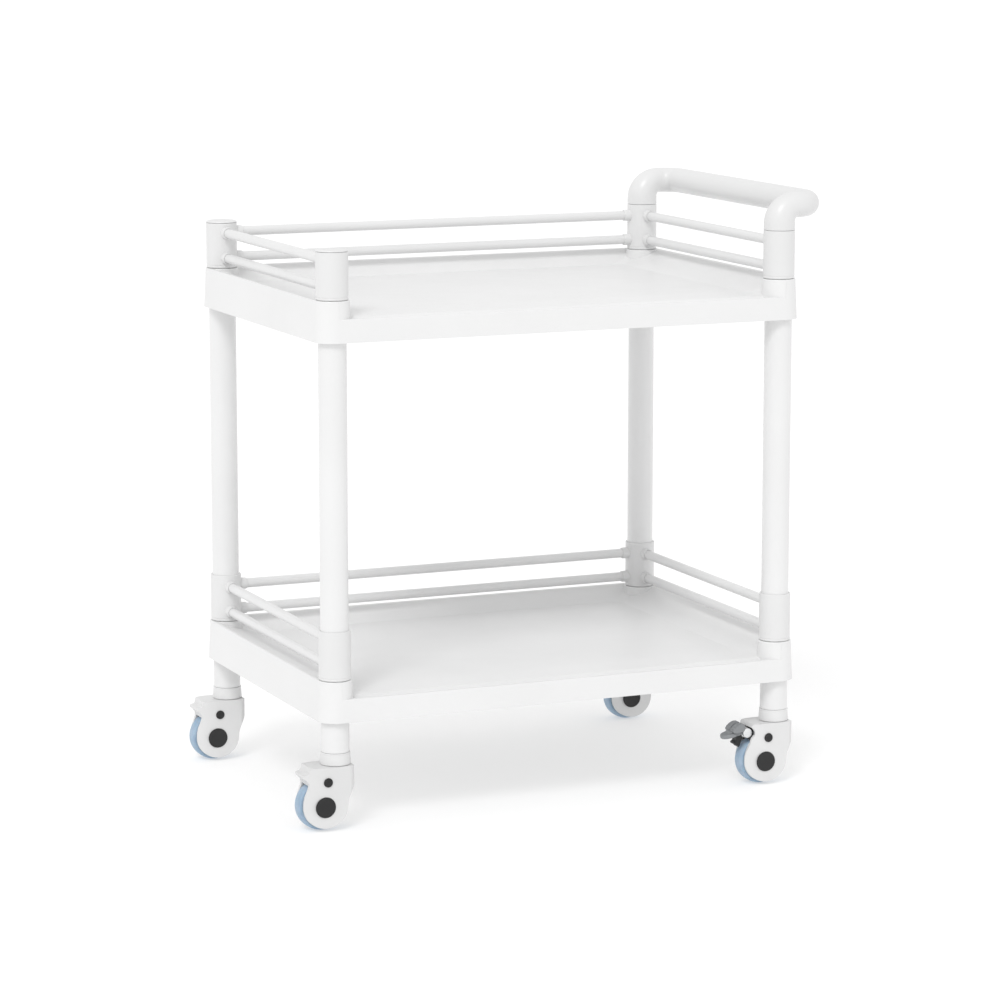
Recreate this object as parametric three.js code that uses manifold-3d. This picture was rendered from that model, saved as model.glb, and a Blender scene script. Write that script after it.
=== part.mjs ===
// Rolling salon trolley: two moulded trays on four tube posts, guard rods on three
// sides, a push handle at one end and four twin-cheek casters.
// Millimetres. +Z is up, +X is the handle end, -Y is the open long side.
import * as THREE from 'three';
import { mergeVertices } from 'three/addons/utils/BufferGeometryUtils.js';
import Module from 'manifold-3d';

// ---- driving dimensions ----
const POST_X = 364; // half the spacing of the posts along the long side
const POST_Y = 242.5; // half the spacing across
const POST_R = 21;
const POST_WALL = 2;
const GAP = 0.3; // clearance between pieces that touch
const PLUG_GAP = 0.4; // clearance of a plug inside a post

const TRAY_HEIGHT = 61;
const LOWER_TRAY_Z = 163;
const UPPER_TRAY_Z = 725;
const CORNER_R = 26; // outer corner of a tray, concentric with the post
const SKIRT_FLARE = 2.5; // how far the skirt leans out at its foot
const SKIRT_WALL = 4;
const RIM_WALL = 6;
const FLOOR_HEIGHT = 38; // tray floor above the foot of the skirt
const FRONT_LIP_HEIGHT = 34.5; // lowered rim on the open side
const ROOF_HEIGHT = 31; // underside of the tray floor
const FLOOR_X = 320; // half length of the flat tray floor
const FLOOR_FRONT_Y = -186;
const FLOOR_BACK_Y = 230;
const BOSS_R = 25.5;

const COLLAR_R = 24;
const COLLAR_HEIGHT = 74;
const POST_TOP = 856.5;
const CAP_TOP = 860;
const CAP_CHAMFER = 3;
const PLUG_DEPTH = 22;

const ROD_R = 7.5;
const ROD_HEIGHTS = [16, 55.5]; // rod centres above the foot of a collar
const SOCKET_R = 9.5;
const SOCKET_REACH = 34; // rod socket mouth from the post axis
const ROD_END = 26; // rod end from the post axis

const GRIP_R = 20;
const GRIP_Z = 898;
const GRIP_OUT = 56.5; // grip centre outboard of the posts
const GRIP_BEND = 28;
const SLEEVE_TOP = 884;

const WHEEL_R = 37.5;
const WHEEL_X = -25; // the casters trail towards -X
const TYRE_INNER_R = 30;
const TYRE_HALF = 12;
const AXLE_R = 5;
const FOOT_Z = 97.5;
const FOOT_R = 23;
const FOOT_TOP = 115.6;
const FOOT_PLUG_TOP = 150;
const STEM_R = 6;
const STEM_TOP = 138;
const HOOD_TOP = 97;
const HOOD_HALF = 25.5;
const SIDE_HALF = 20;
const CHEEK_R = 32;
const CHEEK_HALF = 24;
const SLOT_HALF = 13.6;
const HUB_CAP_R = 15.75;
const BUTTON_R = 7;
const BUTTON_X = -21;
const BUTTON_Z = 75;

const PEDAL_HALF = 17;
const LINK_HALF = 12;
const SHOE_HALF = 8;

const wasm = await Module();
wasm.setup();

// ---- solids ----
function solidOf(geometry) {
  const plain = geometry.index ? geometry.toNonIndexed() : geometry.clone();
  plain.deleteAttribute('normal');
  plain.deleteAttribute('uv');
  const merged = mergeVertices(plain, 1e-3);
  return new wasm.Manifold(
    new wasm.Mesh({
      numProp: 3,
      vertProperties: merged.attributes.position.array,
      triVerts: new Uint32Array(merged.index.array),
    }),
  );
}

function geometryOf(solid) {
  const mesh = solid.getMesh();
  const geometry = new THREE.BufferGeometry();
  geometry.setAttribute('position', new THREE.BufferAttribute(mesh.vertProperties, 3));
  geometry.setIndex(new THREE.BufferAttribute(mesh.triVerts, 1));
  return geometry;
}

function join(first, ...others) {
  return geometryOf(others.reduce((sum, g) => sum.add(solidOf(g)), solidOf(first)));
}

function cut(first, ...others) {
  return geometryOf(others.reduce((rest, g) => rest.subtract(solidOf(g)), solidOf(first)));
}

// ---- basic shapes ----
function upright(radius, low, high, segments = 16) {
  const height = high - low;
  const geometry = new THREE.CylinderGeometry(radius, radius, height, segments);
  return geometry.rotateX(Math.PI / 2).translate(0, 0, low + height / 2);
}

// A cylinder across the object (along Y), centred on y = 0.
function crosswise(radius, half, x, z, segments = 16) {
  return new THREE.CylinderGeometry(radius, radius, 2 * half, segments).translate(x, 0, z);
}

// A turned piece about Z; its profile runs from the bottom up, as [radius, z].
function turned(profile, segments = 16) {
  const points = profile.map(([radius, z]) => new THREE.Vector2(radius, z));
  return new THREE.LatheGeometry(points, segments).rotateX(Math.PI / 2).rotateZ(Math.PI / 2);
}

// A turned piece about the wheel axis; its profile is [radius, y].
function turnedCrosswise(profile, segments = 16) {
  const points = profile.map(([radius, y]) => new THREE.Vector2(radius, y));
  return new THREE.LatheGeometry(points, segments);
}

// A plate whose outline lies in the XZ plane and whose width runs along Y.
function plate(outline, half) {
  const depth = 2 * half;
  const geometry = new THREE.ExtrudeGeometry(outline, { depth, bevelEnabled: false });
  return geometry.rotateX(Math.PI / 2).translate(0, half, 0);
}

function outlineOf(points) {
  return new THREE.Shape(points.map(([x, z]) => new THREE.Vector2(x, z)));
}

function roundedRectangle(left, right, front, back, radius) {
  const shape = new THREE.Shape();
  shape.absarc(right - radius, front + radius, radius, -Math.PI / 2, 0, false);
  shape.absarc(right - radius, back - radius, radius, 0, Math.PI / 2, false);
  shape.absarc(left + radius, back - radius, radius, Math.PI / 2, Math.PI, false);
  shape.absarc(left + radius, front + radius, radius, Math.PI, 1.5 * Math.PI, false);
  return shape;
}

// An upright prism whose top outline is moved from its foot outline by `moveTop`.
function tapered(shape, low, high, moveTop) {
  const options = { depth: high - low, bevelEnabled: false, curveSegments: 2 };
  const geometry = new THREE.ExtrudeGeometry(shape, options).translate(0, 0, low);
  const position = geometry.attributes.position;
  for (let i = 0; i < position.count; i++) {
    if (position.getZ(i) < high - 1e-6) continue;
    const [x, y] = moveTop(position.getX(i), position.getY(i));
    position.setXY(i, x, y);
  }
  return geometry;
}

// ---- trays ----
const TRAY_X = POST_X + CORNER_R;
const TRAY_Y = POST_Y + CORNER_R;

function trayBody() {
  const x = TRAY_X + SKIRT_FLARE;
  const y = TRAY_Y + SKIRT_FLARE;
  const foot = roundedRectangle(-x, x, -y, y, CORNER_R + SKIRT_FLARE);
  const lean = (a, b) => [(a * TRAY_X) / x, (b * TRAY_Y) / y];
  return tapered(foot, 0, TRAY_HEIGHT, lean);
}

// The well's sides slope from the flat floor out to the rim, and on past it.
function trayWell() {
  const past = 5;
  const grow = (TRAY_HEIGHT + past - FLOOR_HEIGHT) / (TRAY_HEIGHT - FLOOR_HEIGHT);
  const middle = (FLOOR_FRONT_Y + FLOOR_BACK_Y) / 2;
  const half = (FLOOR_BACK_Y - FLOOR_FRONT_Y) / 2;
  const open = (x, y) => {
    const rimX = (x * (TRAY_X - RIM_WALL)) / FLOOR_X;
    const rimY = ((y - middle) * (TRAY_Y - RIM_WALL)) / half;
    return [x + (rimX - x) * grow, y + (rimY - y) * grow];
  };
  const floor = roundedRectangle(-FLOOR_X, FLOOR_X, FLOOR_FRONT_Y, FLOOR_BACK_Y, 16);
  return tapered(floor, FLOOR_HEIGHT, TRAY_HEIGHT + past, open);
}

// What is taken off the open side, down to a band that falls gently to the front lip.
function frontOpening() {
  const side = new THREE.Shape([
    new THREE.Vector2(FLOOR_FRONT_Y, FLOOR_HEIGHT),
    new THREE.Vector2(-TRAY_Y - 20, FRONT_LIP_HEIGHT - 0.8),
    new THREE.Vector2(-TRAY_Y - 20, TRAY_HEIGHT + 5),
    new THREE.Vector2(FLOOR_FRONT_Y, TRAY_HEIGHT + 5),
  ]);
  const geometry = new THREE.ExtrudeGeometry(side, { depth: 2 * POST_X, bevelEnabled: false });
  return geometry.rotateX(Math.PI / 2).rotateZ(Math.PI / 2).translate(-POST_X, 0, 0);
}

function trayUnderside() {
  const x = TRAY_X - SKIRT_WALL;
  const y = TRAY_Y - SKIRT_WALL;
  return tapered(roundedRectangle(-x, x, -y, y, 22), -5, ROOF_HEIGHT, (a, b) => [a, b]);
}

const CORNERS = [
  { name: 'front_left', x: -1, y: -1 },
  { name: 'front_right', x: 1, y: -1 },
  { name: 'back_left', x: -1, y: 1 },
  { name: 'back_right', x: 1, y: 1 },
];

function tray() {
  const shell = cut(trayBody(), trayWell(), frontOpening(), trayUnderside());
  const bosses = CORNERS.map((corner) =>
    upright(BOSS_R, 0, TRAY_HEIGHT).translate(corner.x * POST_X, corner.y * POST_Y, 0),
  );
  const holes = CORNERS.map((corner) =>
    upright(POST_R + GAP, -5, TRAY_HEIGHT + 5).translate(corner.x * POST_X, corner.y * POST_Y, 0),
  );
  return cut(join(shell, ...bosses), ...holes);
}

// ---- posts, collars and caps ----
function post() {
  return cut(upright(POST_R, FOOT_TOP + GAP, POST_TOP), upright(POST_R - POST_WALL, 0, 900));
}

// A cylinder that leaves the post axis horizontally at the given height.
function outward(radius, near, far, angle, z) {
  const length = far - near;
  const geometry = new THREE.CylinderGeometry(radius, radius, length, 8);
  return geometry.rotateZ(-Math.PI / 2).translate(near + length / 2, 0, z).rotateZ(angle);
}

// The rods leave a front post towards the back, and a back post along both sides.
function rodAngles(corner) {
  const along = corner.x < 0 ? 0 : Math.PI;
  return corner.y < 0 ? [Math.PI / 2] : [-Math.PI / 2, along];
}

function collar(corner, height) {
  const places = rodAngles(corner).flatMap((angle) => ROD_HEIGHTS.map((z) => [angle, z]));
  const sockets = places.map(([angle, z]) => outward(SOCKET_R, POST_R + 1, SOCKET_REACH, angle, z));
  const bores = places.map(([angle, z]) =>
    outward(ROD_R + GAP, ROD_END - GAP, SOCKET_REACH + 5, angle, z),
  );
  const body = join(upright(COLLAR_R, 0, height), ...sockets);
  return cut(body, upright(POST_R + GAP, -5, height + 5), ...bores);
}

function postCap() {
  const low = POST_TOP + GAP;
  const plug = POST_R - POST_WALL - PLUG_GAP;
  return turned([
    [0, low - PLUG_DEPTH],
    [plug, low - PLUG_DEPTH],
    [plug, low],
    [COLLAR_R, low],
    [COLLAR_R - CAP_CHAMFER, CAP_TOP],
    [0, CAP_TOP],
  ]);
}

// ---- handle ----
function handlePath() {
  const points = [new THREE.Vector3(POST_X, POST_Y, CAP_TOP + 6)];
  const steps = 4;
  for (let i = 0; i <= steps; i++) {
    const turn = (i / steps) * (Math.PI / 2);
    const out = GRIP_BEND * (1 - Math.cos(turn));
    const up = GRIP_BEND * (1 - Math.sin(turn));
    points.push(new THREE.Vector3(POST_X + out, POST_Y, GRIP_Z - up));
  }
  for (let i = 1; i <= steps; i++) {
    const turn = (i / steps) * (Math.PI / 2);
    const out = GRIP_OUT - GRIP_BEND * (1 - Math.sin(turn));
    const side = POST_Y - GRIP_BEND * (1 - Math.cos(turn));
    points.push(new THREE.Vector3(POST_X + out, side, GRIP_Z));
  }
  for (const past of [8, 16, 60]) {
    points.push(new THREE.Vector3(POST_X + GRIP_OUT, POST_Y - GRIP_BEND - past, GRIP_Z));
  }
  const mirrored = points.map((p) => new THREE.Vector3(p.x, -p.y, p.z)).reverse();
  return new THREE.CatmullRomCurve3([...points, ...mirrored], false, 'centripetal');
}

function sleeve(y) {
  const plug = POST_R - POST_WALL - PLUG_GAP;
  const profile = [
    [0, POST_TOP - PLUG_DEPTH],
    [plug, POST_TOP - PLUG_DEPTH],
    [plug, CAP_TOP],
    [COLLAR_R, CAP_TOP],
    [COLLAR_R - 0.5, CAP_TOP + 12],
    [GRIP_R, SLEEVE_TOP],
    [0, SLEEVE_TOP],
  ];
  return turned(profile).translate(POST_X, y, 0);
}

function handle() {
  const section = new THREE.Shape().absarc(0, 0, GRIP_R, 0, 2 * Math.PI, false);
  const options = { steps: 28, bevelEnabled: false, curveSegments: 6, extrudePath: handlePath() };
  const grip = new THREE.ExtrudeGeometry(section, options);
  return join(grip, sleeve(POST_Y), sleeve(-POST_Y));
}

// ---- guard rods ----
function rod(length) {
  return new THREE.CylinderGeometry(ROD_R, ROD_R, length, 8);
}

// ---- casters, about the post axis with the floor at z = 0 ----
function footSocket() {
  const plug = POST_R - POST_WALL - PLUG_GAP;
  const bore = STEM_R + PLUG_GAP;
  return turned([
    [0, STEM_TOP + 2],
    [bore, STEM_TOP + 2],
    [bore, FOOT_Z],
    [FOOT_R, FOOT_Z],
    [FOOT_R - 0.5, FOOT_Z + 6],
    [POST_R + 0.8, FOOT_TOP],
    [plug, FOOT_TOP],
    [plug, FOOT_PLUG_TOP],
    [0, FOOT_PLUG_TOP],
  ]);
}

// The side view of a housing: hood, rear edge and the lower edges that meet the cheek disc.
function housingOutline(braked) {
  const rear = [
    [23.5, HOOD_TOP],
    [23.5, 71],
    [9, 47],
    [1.5, 28],
  ];
  const disc = [-30, -60, -90, -120, -150, 180].map((degrees) => {
    const turn = THREE.MathUtils.degToRad(degrees);
    return [WHEEL_X + CHEEK_R * Math.cos(turn), WHEEL_R + CHEEK_R * Math.sin(turn)];
  });
  const cheekFront = [[-56, 54], [-51, 66]];
  const plainFront = [...cheekFront, [-49, 73], [-52, 76], [-60, 84], [-60, 89], [-51, HOOD_TOP]];
  const brakedFront = [...cheekFront, [-48, 73], [-50, 85], [-45, 93], [-37, HOOD_TOP]];
  const front = braked ? brakedFront : plainFront;
  return outlineOf([...rear, ...disc, ...front].reverse());
}

function hoodOutline(braked) {
  const low = 62;
  const plainFront = [[-47, HOOD_TOP], [-49, low]];
  const brakedFront = [[-37, HOOD_TOP], [-45, 93], [-50, 85], [-47, low]];
  const front = braked ? brakedFront : plainFront;
  return outlineOf([...front, [18, low], [23.5, 73], [23.5, HOOD_TOP]]);
}

function cheekDome() {
  return turnedCrosswise([
    [0, -CHEEK_HALF],
    [HUB_CAP_R + 1, -CHEEK_HALF],
    [CHEEK_R, -17],
    [CHEEK_R, 17],
    [HUB_CAP_R + 1, CHEEK_HALF],
    [0, CHEEK_HALF],
  ]).translate(WHEEL_X, 0, WHEEL_R);
}

function housing(braked) {
  const stem = upright(STEM_R, HOOD_TOP - 5, STEM_TOP);
  const sides = plate(housingOutline(braked), SIDE_HALF);
  const hood = plate(hoodOutline(braked), HOOD_HALF);
  const body = join(sides, hood, cheekDome(), stem);
  const openings = [
    crosswise(WHEEL_R + 2.5, SLOT_HALF, WHEEL_X, WHEEL_R, 20),
    plate(outlineOf([[-75, -5], [12, -5], [12, 55], [-75, 62]]), SLOT_HALF),
    crosswise(AXLE_R + GAP, 40, WHEEL_X, WHEEL_R, 12),
  ];
  if (braked) {
    const pocket = [[-60, 68], [-44, 68], [-41, 80], [-44, 91], [-60, 91]];
    openings.push(plate(outlineOf(pocket), LINK_HALF + 1));
  }
  return cut(body, ...openings);
}

function axle() {
  const inner = CHEEK_HALF + GAP;
  const cap = (side) => crosswise(HUB_CAP_R, 1.1, 0, 0).translate(0, side * (inner + 1.1), 0);
  return join(crosswise(AXLE_R, inner + 1, 0, 0, 12), cap(-1), cap(1));
}

function wheelCore() {
  const bore = AXLE_R + GAP;
  const outer = TYRE_INNER_R - GAP;
  const hubHalf = 12.5;
  const hub = crosswise(12, hubHalf, 0, 0);
  const web = crosswise(outer, 9, 0, 0, 24);
  return cut(join(web, hub), crosswise(bore, 20, 0, 0, 12));
}

function tyre() {
  const outline = [
    [TYRE_INNER_R, TYRE_HALF],
    [TYRE_INNER_R, -TYRE_HALF],
    [WHEEL_R - 3, -TYRE_HALF],
    [WHEEL_R, -TYRE_HALF / 3],
    [WHEEL_R, TYRE_HALF / 3],
    [WHEEL_R - 3, TYRE_HALF],
    [TYRE_INNER_R, TYRE_HALF],
  ];
  return turnedCrosswise(outline, 32);
}

function button() {
  const low = HOOD_HALF + GAP;
  const outline = [[0, low], [BUTTON_R, low], [BUTTON_R - 1, low + 1.2], [0, low + 1.2]];
  return turnedCrosswise(outline, 12);
}

// A foot plate with a shoe under it, hung on a link that enters the housing's pocket.
function brakePedal() {
  const foot = outlineOf([[-54, 78], [-76, 72.5], [-94, 82], [-83, 93], [-61, 98], [-54, 92]]);
  const link = outlineOf([[-53, 74], [-56, 78], [-56, 88], [-46, 88], [-43, 80], [-46, 74]]);
  const shoe = outlineOf([[-55, 80], [-58, 70], [-62.5, 58], [-69, 62], [-72, 78]]);
  return join(plate(foot, PEDAL_HALF), plate(link, LINK_HALF), plate(shoe, SHOE_HALF));
}

// ---- materials ----
function plastic(colour, roughness) {
  return new THREE.MeshStandardMaterial({ color: colour, roughness, metalness: 0 });
}

const trayPlastic = plastic(0xf1f1ef, 0.38);
const collarPlastic = plastic(0xeeeeec, 0.35);
const handlePlastic = plastic(0xf0f0ee, 0.32);
const housingPlastic = plastic(0xdfe0df, 0.42);
const blackPlastic = plastic(0x2b2c2e, 0.4);
const pedalPlastic = plastic(0xa9adb0, 0.45);
const tyreRubber = plastic(0x9fb6cb, 0.6);
const corePlastic = plastic(0xd5d7d8, 0.5);
const tubePaint = new THREE.MeshStandardMaterial({ color: 0xefefee, roughness: 0.3, metalness: 0.1 });

// ---- assembly ----
const trolley = new THREE.Group();

function place(parent, name, geometry, material, x = 0, y = 0, z = 0) {
  const mesh = new THREE.Mesh(geometry, material);
  mesh.name = name;
  mesh.position.set(x, y, z);
  parent.add(mesh);
  return mesh;
}

function addTrays() {
  place(trolley, 'lower_tray', tray(), trayPlastic, 0, 0, LOWER_TRAY_Z);
  place(trolley, 'upper_tray', tray(), trayPlastic, 0, 0, UPPER_TRAY_Z);
}

const LOWER_COLLAR_Z = LOWER_TRAY_Z + TRAY_HEIGHT + GAP;
const UPPER_COLLAR_Z = UPPER_TRAY_Z + TRAY_HEIGHT + GAP;

function addPosts() {
  for (const corner of CORNERS) {
    const x = corner.x * POST_X;
    const y = corner.y * POST_Y;
    const upperTop = corner.x < 0 ? POST_TOP : CAP_TOP - GAP; // the handle stands on the right-hand collars
    place(trolley, `post_${corner.name}`, post(), tubePaint, x, y);
    const lower = collar(corner, COLLAR_HEIGHT - GAP);
    place(trolley, `lower_collar_${corner.name}`, lower, collarPlastic, x, y, LOWER_COLLAR_Z);
    const upper = collar(corner, upperTop - UPPER_COLLAR_Z);
    place(trolley, `upper_collar_${corner.name}`, upper, collarPlastic, x, y, UPPER_COLLAR_Z);
    if (corner.x < 0) place(trolley, `post_cap_${corner.name}`, postCap(), collarPlastic, x, y);
  }
}

function addRods() {
  const acrossLength = 2 * (POST_Y - ROD_END);
  const alongLength = 2 * (POST_X - ROD_END);
  const levels = [['lower', LOWER_COLLAR_Z], ['upper', UPPER_COLLAR_Z]];
  for (const [level, base] of levels) {
    ROD_HEIGHTS.forEach((height, index) => {
      const row = index === 0 ? 'low' : 'high';
      const z = base + height;
      place(trolley, `${level}_rod_left_${row}`, rod(acrossLength), tubePaint, -POST_X, 0, z);
      place(trolley, `${level}_rod_right_${row}`, rod(acrossLength), tubePaint, POST_X, 0, z);
      const back = rod(alongLength).rotateZ(Math.PI / 2);
      place(trolley, `${level}_rod_back_${row}`, back, tubePaint, 0, POST_Y, z);
    });
  }
}

function addCaster(corner) {
  const caster = new THREE.Group();
  caster.position.set(corner.x * POST_X, corner.y * POST_Y, 0);
  trolley.add(caster);
  const braked = corner.x > 0;
  const name = corner.name;
  place(caster, `foot_socket_${name}`, footSocket(), housingPlastic);
  place(caster, `housing_${name}`, housing(braked), housingPlastic);
  place(caster, `axle_${name}`, axle(), blackPlastic, WHEEL_X, 0, WHEEL_R);
  place(caster, `wheel_core_${name}`, wheelCore(), corePlastic, WHEEL_X, 0, WHEEL_R);
  place(caster, `tyre_${name}`, tyre(), tyreRubber, WHEEL_X, 0, WHEEL_R);
  place(caster, `button_back_${name}`, button(), blackPlastic, BUTTON_X, 0, BUTTON_Z);
  const front = button().rotateZ(Math.PI);
  place(caster, `button_front_${name}`, front, blackPlastic, BUTTON_X, 0, BUTTON_Z);
  if (braked) place(caster, `brake_pedal_${name}`, brakePedal(), pedalPlastic);
}

addTrays();
addPosts();
addRods();
place(trolley, 'handle', handle(), handlePlastic);
CORNERS.forEach(addCaster);

// The origin is on the floor, at the middle of the whole object.
const reachRight = POST_X + GRIP_OUT + GRIP_R;
const reachLeft = POST_X - WHEEL_X + WHEEL_R;
trolley.position.x = (reachLeft - reachRight) / 2;

export default trolley;
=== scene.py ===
"""Rolling salon trolley: moulded trays, tube posts, guard rods, push handle and casters.

Metres, +Z up. +X is the handle end and -Y is the open long side.
"""
import math

import bmesh
import bpy
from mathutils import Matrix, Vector


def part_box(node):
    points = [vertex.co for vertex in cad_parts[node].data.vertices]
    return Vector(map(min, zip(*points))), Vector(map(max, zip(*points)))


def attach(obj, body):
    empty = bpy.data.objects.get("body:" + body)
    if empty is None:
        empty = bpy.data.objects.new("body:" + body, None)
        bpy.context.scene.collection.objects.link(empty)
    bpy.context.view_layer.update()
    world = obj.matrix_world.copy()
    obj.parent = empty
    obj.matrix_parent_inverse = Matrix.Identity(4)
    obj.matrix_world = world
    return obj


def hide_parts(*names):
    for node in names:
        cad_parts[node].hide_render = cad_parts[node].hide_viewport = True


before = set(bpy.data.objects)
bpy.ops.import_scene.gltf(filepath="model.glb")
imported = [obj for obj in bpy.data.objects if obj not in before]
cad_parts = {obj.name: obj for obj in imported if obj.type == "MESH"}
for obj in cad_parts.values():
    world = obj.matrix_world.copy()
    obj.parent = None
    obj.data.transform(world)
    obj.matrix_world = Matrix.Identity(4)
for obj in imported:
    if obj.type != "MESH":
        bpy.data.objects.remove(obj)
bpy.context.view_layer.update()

MM = 0.001
CORNERS = ("front_left", "front_right", "back_left", "back_right")
SMOOTH_ANGLE = math.radians(32)

# Trays: heights are above the foot of the skirt, and places are from the middle
CORNER_R = 26 * MM
FLARE = 2.5 * MM
RIM_WALL = 6 * MM
SKIRT_WALL = 4 * MM
FLOOR_HEIGHT = 38 * MM
LIP_HEIGHT = 34.5 * MM
ROOF_HEIGHT = 31 * MM
FLOOR_X = 320 * MM
FLOOR_FRONT = -186 * MM
FLOOR_BACK = 230 * MM
FALL_START, FALL_LENGTH = -176 * MM, 85 * MM
LIP_START, LIP_LENGTH = -214 * MM, 34 * MM
SIDE_EASE, SIDE_SLOPE = 12 * MM, 23 / 64
FRONT_CUTS_X = [x * MM for x in (308, 314, 320, 326, 332, 338, 345)]
FRONT_CUTS_Y = [-y * MM for y in (176, 186, 197, 207, 214, 221, 228, 235, 242, 250)]
BOSS_R = 25.6 * MM
RIB_WALL = 1.3 * MM
RIB_DEPTH = 13 * MM

# Posts, collars and rods
POST_R = 21 * MM
POST_WALL = 2 * MM
COLLAR_R = 24 * MM
SOCKET_R = 9.5 * MM
SOCKET_REACH = 34 * MM
ROD_R = 7.5 * MM
ROD_NECK = 6 * MM
ROD_BAND = 20 * MM

# Handle
GRIP_R = 19.9 * MM
GRIP_BEND = 28 * MM
GRIP_BANDS = 24

# Casters, measured from the post axis and the ground
WHEEL_X = -25 * MM
WHEEL_R = 37.5 * MM
SLOT_HALF = 13.6 * MM
LOBE_SHIFT = 8.2 * MM

# Studio
GROUND_SIZE = 300
GROUND_GLOW = 0.42
SKY_STRENGTH = 0.93
SUN_STRENGTH = 0.95
SUN_SPREAD = 18
SUN_DIRECTION = (0.62, 0.72, -1.0)
CAMERA_SHIFT = (-2.2626, -5.2547, 1.4037)
CAMERA_DOWN = 9.664
CAMERA_TURN = 23.349
CAMERA_LENS = 133.78


# ---------------------------------------------------------------- hand tools

def deselect_all():
    bpy.ops.object.select_all(action="DESELECT")


def select_only(piece):
    deselect_all()
    piece.select_set(True)
    bpy.context.view_layer.objects.active = piece


def start_editing(piece):
    select_only(piece)
    bpy.ops.object.mode_set(mode="EDIT")


def stop_editing():
    bpy.ops.object.mode_set(mode="OBJECT")


def open_mesh():
    return bmesh.from_edit_mesh(bpy.context.edit_object.data)


def choose_faces(wanted):
    """Selects the faces for which wanted(middle, normal) is true."""
    bpy.ops.mesh.select_mode(type="FACE")
    bpy.ops.mesh.select_all(action="DESELECT")
    for face in open_mesh().faces:
        face.select_set(bool(wanted(face.calc_center_median(), face.normal)))
    bmesh.update_edit_mesh(bpy.context.edit_object.data)


def choose_edges(wanted):
    """Selects the edges for which wanted(one end, other end) is true."""
    bpy.ops.mesh.select_mode(type="EDGE")
    bpy.ops.mesh.select_all(action="DESELECT")
    for edge in open_mesh().edges:
        edge.select_set(bool(wanted(edge.verts[0].co, edge.verts[1].co)))
    bmesh.update_edit_mesh(bpy.context.edit_object.data)


def move_points(moved):
    """Puts every vertex where moved(place) says, or leaves it if that is None."""
    for vertex in open_mesh().verts:
        place = moved(vertex.co)
        if place is not None:
            vertex.co = place
    bmesh.update_edit_mesh(bpy.context.edit_object.data)


def grow_selected(x, y, z, centre):
    bpy.ops.transform.resize(value=(x, y, z), center_override=tuple(centre))


def extrude_by(x, y, z):
    bpy.ops.mesh.extrude_region_move(TRANSFORM_OT_translate={"value": (x, y, z)})


def bevel_selected(width, segments):
    bpy.ops.mesh.bevel(offset=width, segments=segments, affect="EDGES", clamp_overlap=True)


def tidy_mesh(piece):
    start_editing(piece)
    bpy.ops.mesh.select_all(action="SELECT")
    bpy.ops.mesh.remove_doubles(threshold=MM / 100)
    bpy.ops.mesh.dissolve_degenerate(threshold=MM / 100)
    bpy.ops.mesh.normals_make_consistent(inside=False)
    stop_editing()


def settle(piece, place=(0, 0, 0), turn=(0, 0, 0)):
    """Bakes a piece's place and turn into its mesh."""
    piece.location = Vector(piece.location) + Vector(place)
    piece.rotation_euler = turn
    select_only(piece)
    bpy.ops.object.transform_apply(location=True, rotation=True, scale=True)
    return piece


def apply_modifier(piece, kind, **values):
    bpy.context.view_layer.objects.active = piece
    modifier = piece.modifiers.new(kind.lower(), kind)
    for key, value in values.items():
        setattr(modifier, key, value)
    bpy.ops.object.modifier_apply(modifier=modifier.name)


def combine(piece, other, operation):
    """Joins or cuts by another solid, which is used up."""
    apply_modifier(piece, "BOOLEAN", object=other, operation=operation, solver="MANIFOLD")
    bpy.data.objects.remove(other)


def smooth(piece, angle=SMOOTH_ANGLE):
    """Smooth shading led by the large faces, so that long flats and tubes stay even."""
    select_only(piece)
    bpy.ops.object.shade_smooth_by_angle(angle=angle)
    apply_modifier(piece, "WEIGHTED_NORMAL", keep_sharp=True)
    return piece


def soften_edges(piece, width, segments, angle=40):
    """Bevels the edges sharper than an angle in degrees."""
    apply_modifier(piece, "BEVEL", width=width, segments=segments, limit_method="ANGLE",
                   angle_limit=math.radians(angle), use_clamp_overlap=True)
    return smooth(piece)


def copy_piece(piece, shift):
    """A moved copy with its own mesh."""
    select_only(piece)
    bpy.ops.object.duplicate(linked=False)
    return settle(bpy.context.object, shift)


def finish_piece(piece, name, body, slot, material, *nodes):
    """Names a piece, gives it its finish and hands it to the frame."""
    piece.name = name
    piece.data.name = name
    piece.data.materials.clear()
    piece.data.materials.append(material)
    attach(piece, body)
    if nodes:
        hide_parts(*nodes)
    return piece


def in_mm(points):
    """An outline given in millimetres, in metres."""
    return [(a * MM, b * MM) for a, b in points]


def middle(node):
    low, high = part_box(node)
    return (low + high) / 2


def post_axis(corner):
    place = middle(f"post_{corner}")
    return Vector((place.x, place.y, 0))


# ---------------------------------------------------------------- turned and flat work

def rounded_profile(profile, radius, steps=3):
    """The profile with each inner corner eased by a short curve."""
    eased = [profile[0]]
    for before, corner, after in zip(profile, profile[1:], profile[2:]):
        a, b, c = Vector(before), Vector(corner), Vector(after)
        reach = min(radius, (a - b).length * 0.45, (c - b).length * 0.45)
        if reach < 1e-6:
            eased.append(corner)
            continue
        near, far = b + (a - b).normalized() * reach, b + (c - b).normalized() * reach
        for i in range(steps + 1):
            t = i / steps
            eased.append(tuple(near.lerp(b, t).lerp(b.lerp(far, t), t)))
    eased.append(profile[-1])
    return eased


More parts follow.
